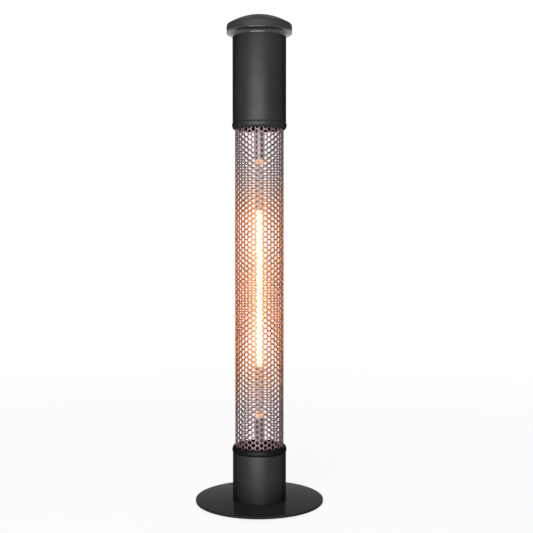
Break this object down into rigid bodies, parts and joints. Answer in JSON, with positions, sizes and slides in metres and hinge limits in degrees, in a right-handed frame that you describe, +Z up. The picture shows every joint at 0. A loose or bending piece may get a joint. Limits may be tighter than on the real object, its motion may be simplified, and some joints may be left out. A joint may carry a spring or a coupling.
{
  "type": "infrared patio heater tower",
  "caption": "Free-standing tower heater: upright quartz infrared lamp in a round perforated steel cage between black housings, on a flat round base plate, under a domed cap.",
  "frame": {"origin": "on the floor under the tower's axis, at the bottom of the foot pads", "axes": "+Z up along the tower's axis, front towards -Y, switch and cable gland towards +Y"},
  "size_m": [0.264, 0.264, 1],
  "materials": {
    "black_paint": "satin black powder coat",
    "black_plate": "smooth semi-gloss black paint on steel plate",
    "mesh_steel": "perforated stainless steel",
    "bright_steel": "polished steel tube",
    "quartz": "clear quartz",
    "glow": "glowing carbon ribbon",
    "ceramic": "unglazed steatite",
    "brass": "plain brass",
    "black_plastic": "moulded black nylon",
    "rubber": "black rubber",
    "zinc": "zinc plated steel"
  },
  "bodies": {
    "tower": {"base_plate": "black_plate", "base_ring": "zinc", "base_screw_1": "zinc", "base_screw_2": "zinc", "base_screw_3": "zinc", "cage": "mesh_steel", "cap_bridge": "zinc", "cap_dome": "black_paint", "cap_nut": "zinc", "cap_ring": "black_paint", "cap_side_screw_1": "zinc", "cap_side_screw_2": "zinc", "foot_pad_1": "rubber", "foot_pad_2": "rubber", "foot_pad_3": "rubber", "foot_pad_4": "rubber", "gland_body": "black_plastic", "gland_dome_nut": "black_plastic", "gland_lock_nut": "black_plastic", "heating_element": "glow", "lower_collar": "black_paint", "lower_deck": "black_paint", "lower_deck_screw_1": "zinc", "lower_deck_screw_2": "zinc", "lower_holder_nut": "zinc", "lower_housing": "black_paint", "lower_lamp_cap": "ceramic", "lower_lamp_holder": "bright_steel", "lower_lamp_terminal": "brass", "lower_side_screw_1": "zinc", "lower_side_screw_2": "zinc", "quartz_tube": "quartz", "return_conduit": "bright_steel", "switch_body": "black_plastic", "terminal_block": "ceramic", "thermal_cutout": "ceramic", "tilt_bracket": "zinc", "tilt_microswitch": "black_plastic", "tilt_pin": "bright_steel", "upper_collar": "black_paint", "upper_deck": "black_paint", "upper_deck_screw_1": "zinc", "upper_deck_screw_2": "zinc", "upper_holder_nut": "zinc", "upper_housing": "black_paint", "upper_lamp_cap": "ceramic", "upper_lamp_holder": "bright_steel", "upper_lamp_terminal": "brass", "upper_side_screw_1": "zinc", "upper_side_screw_2": "zinc"},
    "rocker": {"switch_rocker": "black_plastic"},
    "pendulum": {"tilt_pendulum": "brass"}
  },
  "joints": [
    {"name": "switch_tip", "type": "hinge", "parent": "tower", "child": "rocker", "pos_m": [0, 0.054, 0.058], "axis": [-1, 0, 0], "range_deg": [0, 18]},
    {"name": "tilt_swing", "type": "hinge", "parent": "tower", "child": "pendulum", "pos_m": [-0.038, 0, 0.0415], "axis": [1, 0, 0], "range_deg": [-30, 30]}
  ]
}
